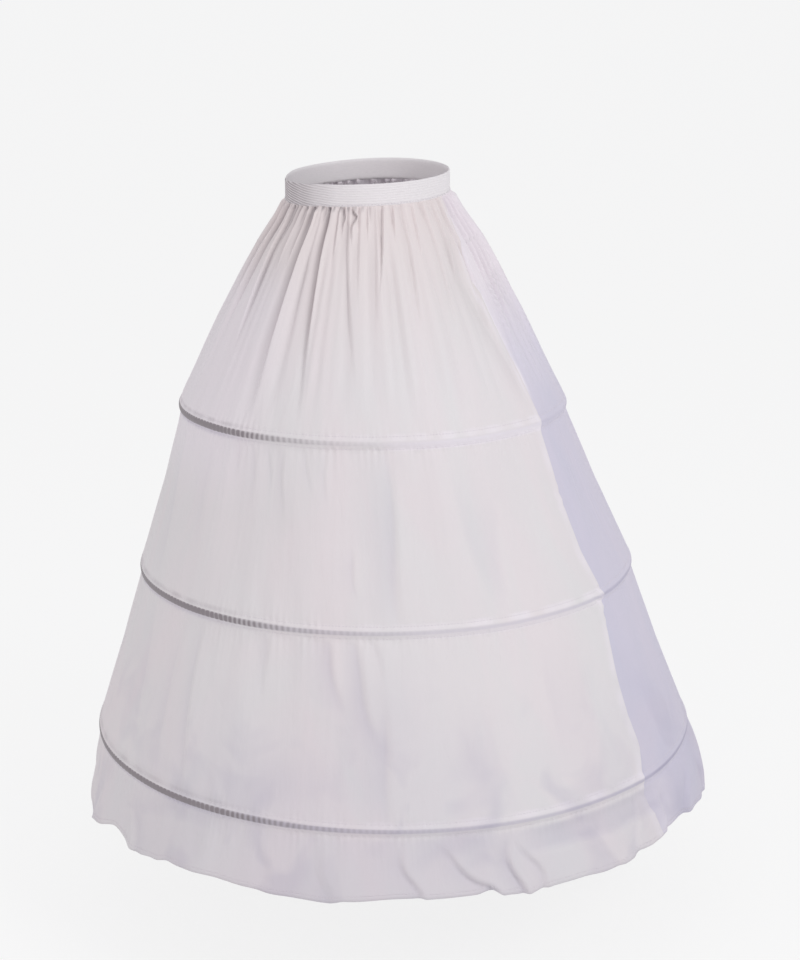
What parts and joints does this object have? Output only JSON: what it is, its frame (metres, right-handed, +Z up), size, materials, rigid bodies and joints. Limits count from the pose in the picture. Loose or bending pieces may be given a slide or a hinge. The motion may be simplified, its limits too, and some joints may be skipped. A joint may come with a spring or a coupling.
{
  "type": "hoop skirt",
  "caption": "Gathered cloth skirt on an elastic waistband, held out in a cone by steel hoops in casings sewn round its inside, with a free wavy hem.",
  "frame": {"origin": "the middle of the waistband, on the axis of the waist", "axes": "+Z up out of the waist, -Y the way the wearer faces, +X the wearer's left"},
  "size_m": [0.9479, 0.9518, 0.9134],
  "materials": {
    "white_cloth": "thin plain-woven cloth with a soft sheen",
    "woven_elastic": "ribbed woven elastic",
    "casing_tape": "plain cotton tape",
    "spring_steel": "blued spring steel strip",
    "plated_steel": "plated, crimped"
  },
  "bodies": {
    "root": {"waistband": "woven_elastic", "front_panel": "white_cloth", "back_panel": "white_cloth", "upper_casing": "casing_tape", "middle_casing": "casing_tape", "lower_casing": "casing_tape", "upper_hoop": "spring_steel", "middle_hoop": "spring_steel", "lower_hoop": "spring_steel", "upper_sleeve": "plated_steel", "middle_sleeve": "plated_steel", "lower_sleeve": "plated_steel"}
  },
  "joints": []
}
